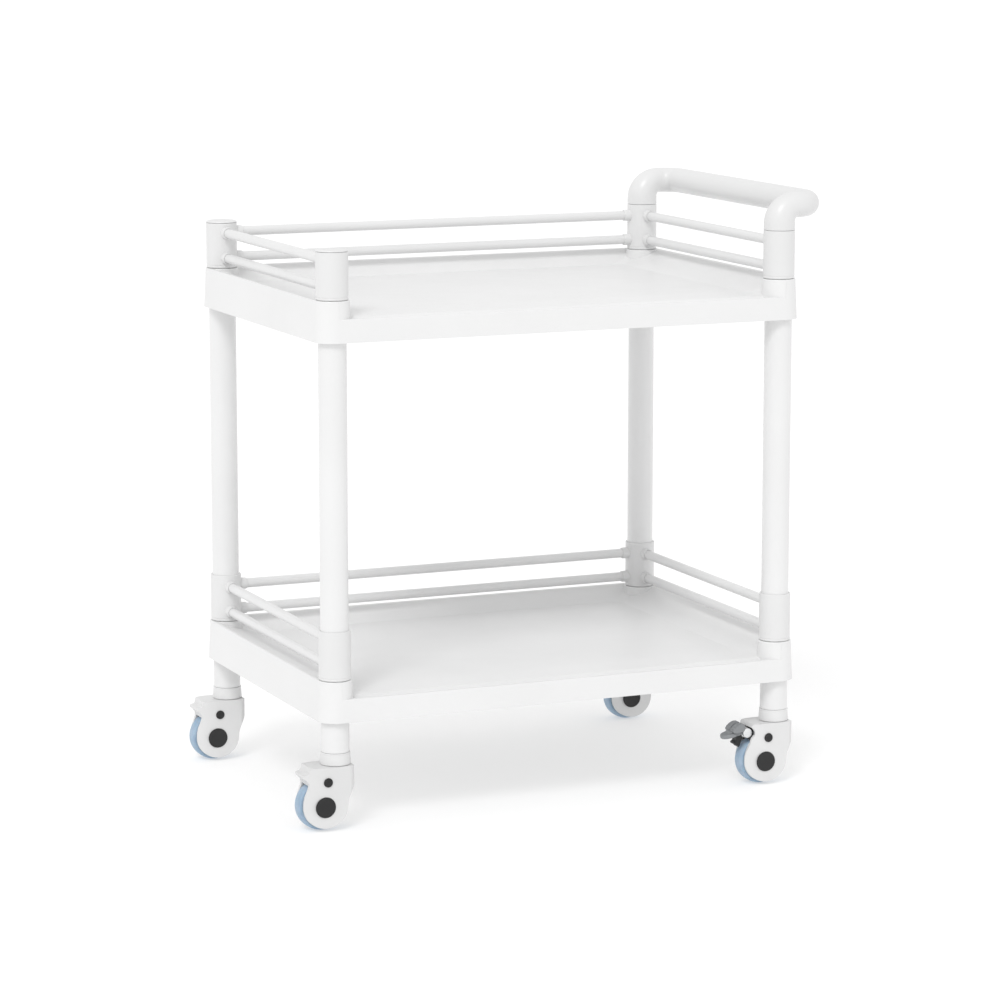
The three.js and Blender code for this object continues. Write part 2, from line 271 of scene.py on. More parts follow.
def turned(profile, segments, closed=False):
    """A ring of radius and height carried along the profile: closed is a hollow ring."""
    (radius, height), rest = profile[0], profile[1:]
    deselect_all()
    bpy.ops.mesh.primitive_circle_add(
        vertices=segments, radius=radius, fill_type="NOTHING" if closed else "NGON",
        location=(0, 0, height))
    piece = bpy.context.object
    settle(piece)
    start_editing(piece)
    bpy.ops.mesh.select_all(action="SELECT")
    for next_radius, next_height in rest:
        extrude_by(0, 0, next_height - height)
        ratio = next_radius / radius
        grow_selected(ratio, ratio, 1, (0, 0, next_height))
        radius, height = next_radius, next_height
    stop_editing()
    tidy_mesh(piece)
    return piece


def turned_crosswise(profile, segments, closed=False, place=(0, 0, 0)):
    """The same, about the Y axis."""
    piece = turned(profile, segments, closed)
    return settle(piece, place, (math.radians(-90), 0, 0))


def plate(outline, half):
    """A flat plate: its outline is given in X and Z, and its width runs along Y."""
    deselect_all()
    bpy.ops.mesh.primitive_circle_add(vertices=len(outline), radius=1, fill_type="NGON")
    piece = bpy.context.object
    start_editing(piece)
    mesh = open_mesh()
    mesh.verts.ensure_lookup_table()
    for vertex, (x, z) in zip(mesh.verts, outline):
        vertex.co = (x, -half, z)
    bmesh.update_edit_mesh(piece.data)
    bpy.ops.mesh.select_all(action="SELECT")
    extrude_by(0, 2 * half, 0)
    stop_editing()
    tidy_mesh(piece)
    return piece


def on_circle(centre, radius, degrees):
    turn = math.radians(degrees)
    return (centre[0] + radius * math.cos(turn), centre[1] + radius * math.sin(turn))


def arc(centre, radius, first, last, steps):
    """Points round a centre, from the first to the last angle in degrees."""
    return [on_circle(centre, radius, first + (last - first) * i / steps) for i in range(steps + 1)]


# ---------------------------------------------------------------- materials

def new_material(name):
    material = bpy.data.materials.new(name)
    material.use_nodes = True
    tree = material.node_tree
    return material, tree, tree.nodes["Principled BSDF"]


def pattern(tree, scale, detail, stretch=(1, 1, 1)):
    """Noise on the object's own coordinates."""
    places = tree.nodes.new("ShaderNodeTexCoord")
    mapping = tree.nodes.new("ShaderNodeMapping")
    mapping.inputs["Scale"].default_value = stretch
    noise = tree.nodes.new("ShaderNodeTexNoise")
    noise.inputs["Scale"].default_value = scale
    noise.inputs["Detail"].default_value = detail
    tree.links.new(places.outputs["Object"], mapping.inputs["Vector"])
    tree.links.new(mapping.outputs["Vector"], noise.inputs["Vector"])
    return noise.outputs["Fac"]


def spread(tree, value, low, high):
    """Stretches the middle of a pattern's range over low to high."""
    node = tree.nodes.new("ShaderNodeMapRange")
    node.inputs["From Min"].default_value = 0.3
    node.inputs["From Max"].default_value = 0.7
    node.inputs["To Min"].default_value = low
    node.inputs["To Max"].default_value = high
    tree.links.new(value, node.inputs["Value"])
    return node.outputs["Result"]


def tint(tree, value, first, second):
    """Runs from one colour to the other across a pattern."""
    ramp = tree.nodes.new("ShaderNodeValToRGB")
    ramp.color_ramp.elements[0].position = 0.35
    ramp.color_ramp.elements[0].color = (*first, 1)
    ramp.color_ramp.elements[1].position = 0.65
    ramp.color_ramp.elements[1].color = (*second, 1)
    tree.links.new(value, ramp.inputs["Fac"])
    return ramp.outputs["Color"]


def bump(tree, value, distance, strength, under=None):
    """Relief from a pattern, over any relief given as under."""
    node = tree.nodes.new("ShaderNodeBump")
    node.inputs["Strength"].default_value = strength
    node.inputs["Distance"].default_value = distance
    tree.links.new(value, node.inputs["Height"])
    if under is not None:
        tree.links.new(under, node.inputs["Normal"])
    return node.outputs["Normal"]


def moulded_plastic(name, first, second, roughness, grain, grain_depth, coat=0.0):
    """Moulded plastic: faint cloudy tone, uneven gloss, fine grain over slow sink marks."""
    material, tree, shader = new_material(name)
    tree.links.new(tint(tree, pattern(tree, 7, 4), first, second), shader.inputs["Base Color"])
    gloss = spread(tree, pattern(tree, 28, 6), roughness - 0.05, roughness + 0.06)
    tree.links.new(gloss, shader.inputs["Roughness"])
    waves = bump(tree, pattern(tree, 9, 1), 0.0003, 0.3)
    grains = bump(tree, pattern(tree, grain, 2), grain_depth / 2, 0.4, waves)
    tree.links.new(grains, shader.inputs["Normal"])
    shader.inputs["Specular IOR Level"].default_value = 0.5
    shader.inputs["Coat Weight"].default_value = coat
    shader.inputs["Coat Roughness"].default_value = 0.12
    return material


def coated_tube(name, first, second, roughness):
    """Powder-coated steel tube: faintly uneven tone and gloss under fine orange peel."""
    material, tree, shader = new_material(name)
    tree.links.new(tint(tree, pattern(tree, 5, 3), first, second), shader.inputs["Base Color"])
    gloss = spread(tree, pattern(tree, 30, 5), roughness - 0.02, roughness + 0.04)
    tree.links.new(gloss, shader.inputs["Roughness"])
    peel = bump(tree, pattern(tree, 500, 2), 0.00001, 0.4)
    tree.links.new(peel, shader.inputs["Normal"])
    shader.inputs["Coat Weight"].default_value = 0.25
    shader.inputs["Coat Roughness"].default_value = 0.1
    return material


def soft_tyre(name):
    """Blue-grey elastic tread: dull, faintly dusty, with fine drag lines round it."""
    material, tree, shader = new_material(name)
    dust = tint(tree, pattern(tree, 55, 8), (0.27, 0.38, 0.50), (0.35, 0.46, 0.58))
    tree.links.new(dust, shader.inputs["Base Color"])
    tree.links.new(spread(tree, pattern(tree, 120, 6), 0.42, 0.62), shader.inputs["Roughness"])
    lines = bump(tree, pattern(tree, 900, 3, (0.1, 1, 0.1)), 0.00008, 0.7)
    tree.links.new(lines, shader.inputs["Normal"])
    shader.inputs["Subsurface Weight"].default_value = 0.08
    shader.inputs["Subsurface Scale"].default_value = 0.002
    return material


def bright_steel(name):
    """Turned steel with fine rings left by the tool."""
    material, tree, shader = new_material(name)
    tone = tint(tree, pattern(tree, 80, 5), (0.72, 0.73, 0.74), (0.80, 0.81, 0.82))
    tree.links.new(tone, shader.inputs["Base Color"])
    gloss = spread(tree, pattern(tree, 200, 4, (1, 1, 8)), 0.2, 0.34)
    tree.links.new(gloss, shader.inputs["Roughness"])
    rings = bump(tree, pattern(tree, 700, 2, (0.2, 0.2, 4)), 0.00003, 0.5)
    tree.links.new(rings, shader.inputs["Normal"])
    shader.inputs["Metallic"].default_value = 1.0
    return material


def grey(value):
    return (value, value, value)


TRAY_PLASTIC = moulded_plastic("tray plastic", grey(0.755), grey(0.775), 0.38, 900, 0.00008)
COLLAR_PLASTIC = moulded_plastic("collar plastic", grey(0.71), grey(0.73), 0.34, 800, 0.00006)
HANDLE_PLASTIC = moulded_plastic("handle plastic", grey(0.70), grey(0.715), 0.34, 700, 0.00005, 0.1)
CASTER_PLASTIC = moulded_plastic("caster plastic", grey(0.67), grey(0.71), 0.42, 1100, 0.0001)
CORE_PLASTIC = moulded_plastic(
    "wheel core plastic", (0.52, 0.54, 0.55), (0.58, 0.60, 0.61), 0.45, 1000, 0.0001)
PEDAL_PLASTIC = moulded_plastic(
    "pedal plastic", (0.20, 0.21, 0.22), (0.26, 0.27, 0.28), 0.5, 1000, 0.00012)
BLACK_PLASTIC = moulded_plastic(
    "black plastic", (0.006, 0.006, 0.0065), (0.011, 0.011, 0.0115), 0.45, 1200, 0.0001)
TUBE_COAT = coated_tube("white tube coat", grey(0.745), grey(0.765), 0.30)
ROD_COAT = coated_tube("white rod coat", grey(0.72), grey(0.735), 0.34)
TYRE = soft_tyre("blue-grey tread")
STEEL = bright_steel("turned steel")


# ---------------------------------------------------------------- trays

def smooth_step(value):
    t = min(max(value, 0.0), 1.0)
    return t * t * (3 - 2 * t)


def front_surface(x, y):
    """Height of the lowered front border above the foot of the skirt."""
    fall = smooth_step((FALL_START - y) / FALL_LENGTH)
    lip = FLOOR_HEIGHT - (FLOOR_HEIGHT - LIP_HEIGHT) * fall
    past = abs(x) - FLOOR_X
    if past < -SIDE_EASE:
        side = 0.0
    elif past < SIDE_EASE:
        side = SIDE_SLOPE * (past + SIDE_EASE) ** 2 / (4 * SIDE_EASE)
    else:
        side = SIDE_SLOPE * past
    return lip + side * (1 - smooth_step((LIP_START - y) / LIP_LENGTH))


def tray_blank(low, high):
    """The outer block, its upright corners rounded and its skirt leaning out to the foot."""
    size = high - low
    deselect_all()
    bpy.ops.mesh.primitive_cube_add(size=1, location=(low + high) / 2, scale=size)
    tray = settle(bpy.context.object)
    start_editing(tray)
    choose_edges(lambda a, b: abs(a.z - b.z) > size.z / 2)
    bevel_selected(CORNER_R + FLARE, 14)
    centre = (low + high) / 2
    choose_faces(lambda place, normal: normal.z > 0.9)
    grow_selected((size.x - 2 * FLARE) / size.x, (size.y - 2 * FLARE) / size.y, 1, centre)
    stop_editing()
    return tray


def sink_well(tray, low, high):
    """The borders that slope down inside the rim, and the flat floor."""
    centre, half = (low + high) / 2, (high - low) / 2
    rim_x, rim_y = half.x - FLARE - RIM_WALL, half.y - FLARE - RIM_WALL
    floor_y, floor_half = (FLOOR_FRONT + FLOOR_BACK) / 2, (FLOOR_BACK - FLOOR_FRONT) / 2
    floor_z = low.z + FLOOR_HEIGHT
    start_editing(tray)
    choose_faces(lambda place, normal: normal.z > 0.9)
    bpy.ops.mesh.inset(thickness=RIM_WALL)
    extrude_by(0, floor_y, floor_z - high.z)
    grow_selected(FLOOR_X / rim_x, floor_half / rim_y, 1, (centre.x, centre.y + floor_y, floor_z))
    choose_edges(lambda a, b: abs(a.z - floor_z) < MM and abs(b.z - floor_z) < MM)
    bevel_selected(2.5 * MM, 2)
    stop_editing()


def ease_rim(tray, low, high):
    """Rounds the inner and then the outer edge of the rim."""
    centre, half = (low + high) / 2, (high - low) / 2
    rim_x, rim_y = half.x - FLARE - RIM_WALL, half.y - FLARE - RIM_WALL
    rim_edge = high.z - MM / 10

    def on_outer_arc(point):
        dx = abs(point.x - centre.x) - (rim_x + RIM_WALL - CORNER_R)
        dy = abs(point.y - centre.y) - (rim_y + RIM_WALL - CORNER_R)
        return dx > 0 and dy > 0 and math.hypot(dx, dy) > CORNER_R - RIM_WALL / 2

    def on_inner_rim(point):
        across = abs(point.x - centre.x) < rim_x + MM and abs(point.y - centre.y) < rim_y + MM
        return across and point.z > rim_edge and not on_outer_arc(point)

    start_editing(tray)
    choose_edges(lambda a, b: on_inner_rim(a) and on_inner_rim(b))
    bevel_selected(2.4 * MM, 3)
    choose_edges(lambda a, b: a.z > rim_edge and b.z > rim_edge and not (
        on_inner_rim(a) or on_inner_rim(b)))
    bevel_selected(2.8 * MM, 4)
    stop_editing()


def hollow_underside(tray, low):
    start_editing(tray)
    choose_faces(lambda place, normal: normal.z < -0.9 and place.z < low.z + MM)
    bpy.ops.mesh.inset(thickness=SKIRT_WALL)
    extrude_by(0, 0, ROOF_HEIGHT)
    stop_editing()


def cut_across(point, normal):
    bpy.ops.mesh.select_all(action="SELECT")
    bpy.ops.mesh.bisect(plane_co=point, plane_no=normal)


def lower_front(tray, low, high):
    """Cuts the front region into bands and drops it to the lip between the bosses."""
    centre, size = (low + high) / 2, high - low
    half_span = abs(post_axis("front_right").x - centre.x)
    start_editing(tray)
    columns = FRONT_CUTS_X + [half_span - 2 * MM, half_span]
    for x in [side * place for place in columns for side in (-1, 1)]:
        cut_across((centre.x + x, 0, 0), (1, 0, 0))
    for y in FRONT_CUTS_Y:
        cut_across((0, centre.y + y, 0), (0, 1, 0))

    def lowered(point):
        x, y, height = point.x - centre.x, point.y - centre.y, point.z - low.z
        if abs(x) > half_span - MM or y > FALL_START + MM or height < ROOF_HEIGHT + MM:
            return None
        new_height = front_surface(x, y)
        if height > size.z - 4 * MM:
            new_height += height - size.z
        on_skirt = y < RIM_WALL - size.y / 2
        lean = FLARE * (height - new_height) / size.z if on_skirt else 0
        return Vector((point.x, point.y - lean, low.z + new_height))

    move_points(lowered)
    stop_editing()


def add_bosses(tray, low, high):
    """Round bosses that hold the posts, and the holes through them."""
    foot, top = low.z + 0.5 * MM, high.z - 0.1 * MM
    hole_r, overshoot = POST_R + 0.3 * MM, 10 * MM
    for corner in CORNERS:
        axis = post_axis(corner)
        deselect_all()
        bpy.ops.mesh.primitive_cone_add(
            vertices=72, radius1=BOSS_R + FLARE, radius2=BOSS_R, depth=top - foot,
            location=(axis.x, axis.y, (foot + top) / 2))
        boss = settle(bpy.context.object)
        start_editing(boss)
        choose_edges(lambda a, b: min(a.z, b.z) > high.z - MM)
        bevel_selected(1.2 * MM, 2)
        stop_editing()
        combine(tray, boss, "UNION")
        hole = turned([(hole_r, low.z - overshoot), (hole_r, high.z + overshoot)], 48)
        combine(tray, settle(hole, axis), "DIFFERENCE")
    tidy_mesh(tray)


def under_ribs(low, high):
    """A lattice of ribs under the tray floor, clear of the bosses and the skirt."""
    centre, size = (low + high) / 2, high - low
    top = low.z + ROOF_HEIGHT - 0.2 * MM
    deselect_all()
    bpy.ops.mesh.primitive_grid_add(
        x_subdivisions=6, y_subdivisions=4, size=1, location=(centre.x, centre.y, top))
    ribs = bpy.context.object
    ribs.scale = (size.x - 130 * MM, size.y - 16 * MM, 1)
    settle(ribs)
    start_editing(ribs)
    bpy.ops.mesh.select_all(action="SELECT")
    bpy.ops.mesh.inset(thickness=RIB_WALL, use_individual=True)
    bpy.ops.mesh.delete(type="FACE")
    bpy.ops.mesh.select_all(action="SELECT")
    extrude_by(0, 0, -RIB_DEPTH)
    stop_editing()
    tidy_mesh(ribs)
    return soften_edges(ribs, 0.4 * MM, 1)


def make_tray(node):
    low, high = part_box(node)
    tray = tray_blank(low, high)
    sink_well(tray, low, high)
    ease_rim(tray, low, high)
    hollow_underside(tray, low)
    lower_front(tray, low, high)
    tidy_mesh(tray)
    add_bosses(tray, low, high)
    smooth(tray, math.radians(16))
    finish_piece(tray, f"{node}_shell", "frame", "tray_plastic", TRAY_PLASTIC, node)
    finish_piece(under_ribs(low, high), f"{node}_ribs", "frame", "tray_plastic", TRAY_PLASTIC)


# ---------------------------------------------------------------- posts, collars, rods

def make_posts():
    low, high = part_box("post_front_left")
    inner = POST_R - POST_WALL
    outline = [(inner, low.z), (POST_R, low.z), (POST_R, high.z), (inner, high.z)]
    tube = turned(rounded_profile(outline + outline[:1], 0.6 * MM), 72, closed=True)
    smooth(tube)
    for corner in CORNERS:
        post = copy_piece(tube, post_axis(corner))
        finish_piece(post, f"post_tube_{corner}", "frame", "tube_paint", TUBE_COAT, f"post_{corner}")
    bpy.data.objects.remove(tube)


def rod_socket(height, turn):
    """A short socket with a raised mouth, pointing away from the post."""
    outline = [
        (SOCKET_R, POST_R + MM), (SOCKET_R, COLLAR_R + MM),
        (SOCKET_R - 0.5 * MM, SOCKET_REACH - 1.2 * MM), (SOCKET_R - 1.1 * MM, SOCKET_REACH)]
    socket = turned(rounded_profile(outline, 0.5 * MM, 2), 32)
    settle(socket, (0, 0, 0), (0, math.radians(90), 0))
    return settle(socket, (0, 0, height), (0, 0, turn))


def make_collar(corner, level):
    """A sleeve round the post, with a socket for each rod that starts here."""
    node = f"{level}_collar_{corner}"
    low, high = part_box(node)
    inner = POST_R + 0.15 * MM
    foot = low.z + 0.3 * MM
    outline = [
        (inner, foot + MM), (inner, high.z), (COLLAR_R - 0.4 * MM, high.z), (COLLAR_R, high.z - 1.2 * MM),
        (COLLAR_R, foot + 4.6 * MM), (COLLAR_R - 0.5 * MM, foot + 4.1 * MM),
        (COLLAR_R - 0.5 * MM, foot + 3.5 * MM), (COLLAR_R, foot + 3 * MM), (COLLAR_R, foot + MM),
        (COLLAR_R - 0.8 * MM, foot), (inner, foot)]
    collar = turned(rounded_profile(outline + outline[:1], 0.3 * MM, 2), 72, closed=True)
    bore_r = ROD_R + 0.2 * MM
    turns = [math.pi / 2] if corner.startswith("front") else [-math.pi / 2]
    if corner.startswith("back"):
        turns.append(0 if corner.endswith("left") else math.pi)
    for row in ("low", "high"):
        height = middle(f"{level}_rod_left_{row}").z
        for turn in turns:
            combine(collar, rod_socket(height, turn), "UNION")
            bore = turned([(bore_r, COLLAR_R + MM), (bore_r, SOCKET_REACH + 5 * MM)], 32)
            settle(bore, (0, 0, 0), (0, math.radians(90), 0))
            combine(collar, settle(bore, (0, 0, height), (0, 0, turn)), "DIFFERENCE")
    settle(collar, post_axis(corner))
    tidy_mesh(collar)
    smooth(collar)
    finish_piece(collar, f"{level}_sleeve_{corner}", "frame", "collar_plastic", COLLAR_PLASTIC, node)


def make_cap(corner):
    node = f"post_cap_{corner}"
    low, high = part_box(node)
    rim = high.z - 3 * MM
    outline = [
        (POST_R - 2.6 * MM, low.z), (POST_R - 2.6 * MM, rim), (COLLAR_R - 0.3 * MM, rim),
        (COLLAR_R, rim + 0.5 * MM), (COLLAR_R - 0.6 * MM, high.z - 1.2 * MM),
        (COLLAR_R - 2.6 * MM, high.z - 0.2 * MM), (COLLAR_R - 5 * MM, high.z), (4 * MM, high.z)]
    cap = turned(rounded_profile(outline, 0.7 * MM), 72)
    smooth(settle(cap, post_axis(corner)))
    finish_piece(cap, f"cap_{corner}", "frame", "collar_plastic", COLLAR_PLASTIC, node)


def make_rod(node):
    """A rod with necked ends that enter its sockets."""
    low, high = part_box(node)
    size = high - low
    length = max(size.x, size.y)
    shoulder, straight = length / 2 - ROD_NECK, length / 2 - ROD_NECK - 10 * MM
    neck_r, body_r = ROD_R - 0.9 * MM, ROD_R - 0.1 * MM
    end = [(neck_r, -length / 2), (neck_r, -shoulder), (body_r, MM - shoulder), (body_r, -straight)]
    end = rounded_profile(end, 0.4 * MM, 2)
    bands = round(length / ROD_BAND)
    barrel = [(body_r, (2 * i / bands - 1) * straight) for i in range(1, bands)]
    rod = turned(end + barrel + [(radius, -place) for radius, place in end[::-1]], 32)
    turn = (0, math.radians(90), 0) if size.x > size.y else (math.radians(90), 0, 0)
    smooth(settle(rod, middle(node), turn))
    finish_piece(rod, f"{node}_bar", "frame", "rod_paint", ROD_COAT, node)


# ---------------------------------------------------------------- handle

def bend(centre, axis, down=False):
    """Carries the selected end of a tube a quarter turn round an arc."""
    turn = math.radians(90) if down else -math.radians(90)
    bpy.ops.mesh.spin(steps=14, angle=turn, center=centre, axis=axis)


def lift(steps, place, base):
    """Raises or lowers the selected end through heights and radii."""
    for (z, radius), (next_z, next_radius) in zip(steps, steps[1:]):
        extrude_by(0, 0, next_z - z)
        grow_selected(next_radius / radius, next_radius / radius, 1, (place.x, place.y, base + next_z))


def thicken_ends(handle, neck, base):
    """Swells the tube as it comes down each elbow, to meet the collar."""
    start_editing(handle)
    axis_x = post_axis("front_right").x
    turn_x = axis_x + GRIP_BEND

    def swollen(point):
        if point.x > turn_x or point.z < base + 1.95 * MM:
            return None
        side = post_axis("front_right").y if point.y < 0 else post_axis("back_right").y
        if point.z <= neck:
            turn, centre = 0, Vector((axis_x, side, point.z))
        else:
            turn = math.atan2(point.z - neck, turn_x - point.x)
            along, up = GRIP_BEND * math.cos(turn), GRIP_BEND * math.sin(turn)
            centre = Vector((turn_x - along, side, neck + up))
        share = 1 - smooth_step(turn / math.radians(90))
        return centre + (point - centre) * (1 + (COLLAR_R - 0.2 * MM - GRIP_R) / GRIP_R * share)

    move_points(swollen)
    stop_editing()


def make_handle():
    """One tube: up from each post, out over the end of the trolley and across."""
    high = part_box("handle")[1]
    start, finish = post_axis("front_right"), post_axis("back_right")
    grip_z, grip_x = high.z - GRIP_R - 0.1 * MM, high.x - GRIP_R - 0.1 * MM
    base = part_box("upper_collar_front_right")[1].z + 0.4 * MM
    neck, foot_r = grip_z - GRIP_BEND, COLLAR_R - 0.8 * MM
    deselect_all()
    bpy.ops.mesh.primitive_circle_add(
        vertices=56, radius=foot_r, fill_type="NGON", location=(start.x, start.y, base))
    handle = settle(bpy.context.object)
    start_editing(handle)
    bpy.ops.mesh.select_all(action="SELECT")
    rise = [(0, foot_r), (0.9 * MM, COLLAR_R), (1.9 * MM, COLLAR_R), (2 * MM, GRIP_R),
            (neck - base, GRIP_R)]
    lift(rise, start, base)
    out_x, turn_x = start.x + GRIP_BEND, grip_x - GRIP_BEND
    bend((out_x, start.y, neck), (0, 1, 0))
    extrude_by(turn_x - out_x, 0, 0)
    bend((turn_x, start.y + GRIP_BEND, grip_z), (0, 0, 1))
    for _ in range(GRIP_BANDS):
        extrude_by(0, (finish.y - start.y - 2 * GRIP_BEND) / GRIP_BANDS, 0)
    bend((turn_x, finish.y - GRIP_BEND, grip_z), (0, 0, 1))
    extrude_by(out_x - turn_x, 0, 0)
    bend((out_x, finish.y, neck), (0, 1, 0), down=True)
    lift(rise[::-1], finish, base)
    stop_editing()
    tidy_mesh(handle)
    thicken_ends(handle, neck, base)
    smooth(handle)
    finish_piece(handle, "push_handle", "frame", "handle_plastic", HANDLE_PLASTIC, "handle")


# ---------------------------------------------------------------- casters

def make_foot(corner):
    """The ferrule under a post: a tapered skirt with a raised ring at its mouth."""
    node = f"foot_socket_{corner}"
    low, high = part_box(node)
    bottom, top, mouth = low.z / MM, high.z / MM, 115.6
    bore, plug = 6.4, 18.6
    outline = [
        (bore, bottom), (22.6, bottom), (23, bottom + 0.6), (22.6, bottom + 8), (22.1, mouth - 4),
        (21.9, mouth - 2.2), (22.3, mouth - 1.6), (22.1, mouth - 0.4), (21.4, mouth), (plug, mouth),
        (plug, top), (bore, top)]
    profile = rounded_profile(in_mm(outline + outline[:1]), 0.5 * MM, 2)
    foot = turned(profile, 64, closed=True)
    smooth(settle(foot, post_axis(corner)))
    finish_piece(foot, f"ferrule_{corner}", "frame", "collar_plastic", COLLAR_PLASTIC, node)


def housing_side(braked):
    """Side view of a housing, from the post axis and the ground."""
    wheel_centre, cheek_r = (WHEEL_X / MM, WHEEL_R / MM), 32
    rear = [(22, 97), (23.5, 95), (23.5, 72), (22.6, 69.5), (16.5, 58.5), (12.6, 50), (11, 43), (10.6, 37)]
    disc = []
    for turn in range(-10, -90, -10):
        disc.append(on_circle(wheel_centre, cheek_r + 0.2 + 3.2 * (turn + 90) / 80, turn))
    disc += arc(wheel_centre, cheek_r, -90, -180, 11)
    cheek = [(-56.6, 46), (-54.5, 54), (-51.5, 61), (-49.4, 66), (-48.4, 70)]
    beak = [(-49, 73.6), (-51, 76.8), (-54, 79.8), (-57, 82.2), (-58.6, 84.4), (-58, 86.4),
            (-54.5, 87.2), (-50.5, 87.6), (-48.6, 89), (-47.8, 94), (-46.4, 96.4), (-45, 97)]
    brow = arc((-51.5, 83), 9.4, -58, 66, 9) + [(-46.6, 94.6), (-45, 96.4), (-43, 97)]
    return in_mm(rear + disc + cheek + (brow if braked else beak))


def housing_plan():
    """Plan of a housing: round behind the post, its sides drawn in towards the front."""
    back = [(10, -25.4), (16, -24.6), (20, -22.2), (22.4, -18.4), (23.4, -13)]
    side = [(-2, 25.4), (-14, 25.4), (-22, 25.1), (-30, 24.4), (-37, 23.2), (-44, 21.4), (-50, 19.4),
            (-55, 17.4), (-58.5, 15.4), (-60, 11), (-60.8, 5.5)]
    rear_tip, nose_tip = [(23.5, 0)], [(-61, 0)]
    back += rear_tip + [(x, -y) for x, y in back[::-1]]
    return in_mm(back + side + nose_tip + [(x, -y) for x, y in side[::-1]])


def upright_prism(outline, height):
    """A block on the ground whose plan is given in X and Y."""
    block = plate(outline, height / 2)
    return settle(block, (0, 0, height / 2), (math.radians(90), 0, 0))


def make_housing(braked):
    """Hood and cheeks of one caster, about the post axis."""
    block = plate(housing_side(braked), 25 * MM)
    combine(block, upright_prism(housing_plan(), 110 * MM), "INTERSECT")
    tidy_mesh(block)
    soften_edges(block, 2 * MM, 3, 34)
    tread_room = [(40 * MM, -SLOT_HALF), (40 * MM, SLOT_HALF)]
    tread_room = turned_crosswise(tread_room, 72, place=(WHEEL_X, 0, WHEEL_R))
    combine(block, tread_room, "DIFFERENCE")
    mouth = [(-75, -5), (14, -5), (14, 38), (-40, 70), (-75, 70)]
    combine(block, plate(in_mm(mouth), SLOT_HALF), "DIFFERENCE")
    if braked:
        pocket = [(-66, 66), (-46, 66), (-39, 72), (-37, 83), (-40, 91), (-66, 92)]
        combine(block, plate(in_mm(pocket), 16 * MM), "DIFFERENCE")
    tidy_mesh(block)
    return smooth(block, math.radians(26))


def make_stem():
    outline = in_mm([(6, 92), (6, 136), (5, 138)])
    return smooth(turned(rounded_profile(outline, 0.4 * MM, 2), 32))


def make_axle():
    """Axle with a cap on each end: a shallow dish inside a raised rim."""
    half = in_mm([(5, 24.2), (15.35, 24.2), (15.75, 24.8), (15.45, 26), (14.15, 26.5), (12.95, 26),
                  (5, 25.7), (1, 25.7)])
    profile = [(radius, -y) for radius, y in half[::-1]] + half
    return smooth(turned_crosswise(profile, 56))


def make_core():
    """Wheel centre: hub, dished web and the rim under the tread."""
    half = in_mm([(6, 12.4), (11.5, 12.4), (12.5, 11.6), (14, 7), (24, 6.4), (26, 9.6), (29.7, 10.4)])
    profile = half + [(radius, -y) for radius, y in half[::-1]] + half[:1]
    return smooth(turned_crosswise(profile, 56, closed=True))


def make_tread():
    """Crowned tread with a shoulder groove on each side."""
    half = in_mm([(30, 11), (31, 12), (33.6, 11.9), (34.1, 11.2), (34.8, 11.3), (36, 10), (37, 7.4),
                  (37.4, 4), (37.5, 0)])
    profile = half + [(radius, -y) for radius, y in half[-2::-1]] + half[:1]
    return smooth(turned_crosswise(profile, 96, closed=True))


def make_button():
    outline = in_mm([(7, 25.3), (7, 26.2), (6.2, 26.9), (4.6, 27), (4.1, 26.5), (1, 26.5)])
    return smooth(turned_crosswise(rounded_profile(outline, 0.3 * MM, 2), 40))


def cut_groove(piece, centre, radius, steps, half):
    """Cuts a round groove across a piece, its centre and radius given in millimetres."""
    ring = arc(centre, radius, 0, 330, steps)
    combine(piece, plate(in_mm(ring), half), "DIFFERENCE")


def pedal_lobe():
    """One grip lobe of the foot plate: a ribbed hump."""
    outline = [(-56, 86), (-62, 84.5), (-70, 83), (-75.5, 84), (-77, 87), (-74, 91.4), (-69, 95.4),
               (-64, 97.6), (-58.5, 97.8), (-55.5, 94.5)]
    lobe = plate(in_mm(outline), 6.6 * MM)
    soften_edges(lobe, 1.4 * MM, 3)
    for centre in ((-60.4, 98.5), (-64.6, 98.1), (-69, 96.2), (-73, 93), (-76.4, 89)):
        cut_groove(lobe, centre, 1.3, 11, 8 * MM)
    return lobe


def pedal_toe():
    """The flat rounded toe of the foot plate, drooping away from the hood."""
    deselect_all()
    bpy.ops.mesh.primitive_cylinder_add(vertices=48, radius=1, depth=1, location=(0, 0, 0))
    toe = bpy.context.object
    toe.scale = (15 * MM, 12.6 * MM, 6.4 * MM)
    settle(toe, (-76 * MM, 0, 79.6 * MM), (0, math.radians(-11), 0))
    soften_edges(toe, 1.8 * MM, 3)
    droop = 0.194
    for reach in (0, 3.1, 6.2, 9.3):
        cut_groove(toe, (-79 - reach, 82.6 - droop * reach), 0.8, 9, 8.5 * MM)
    return toe


def make_pedal():
    """Two ribbed lobes side by side on a web, and a toe below them."""
    pedal = settle(pedal_lobe(), (0, -LOBE_SHIFT, 0))
    combine(pedal, settle(pedal_lobe(), (0, LOBE_SHIFT, 0)), "UNION")
    web = [(-54, 84), (-54, 92), (-64, 93), (-74, 88), (-80, 81), (-72, 77.6), (-62, 79)]
    combine(pedal, plate(in_mm(web), 9.6 * MM), "UNION")
    combine(pedal, pedal_toe(), "UNION")
    tidy_mesh(pedal)
    return smooth(pedal)


def make_shoe():
    """The black tab under the pedal that closes on the tread."""
    outline = [(-55, 81), (-57.4, 73), (-60, 66), (-61.6, 61), (-64.2, 59.6), (-66, 63),
               (-70.6, 64.4), (-71.2, 67.2), (-67.4, 70), (-67, 78)]
    return soften_edges(plate(in_mm(outline), 7.8 * MM), 1 * MM, 3, 30)


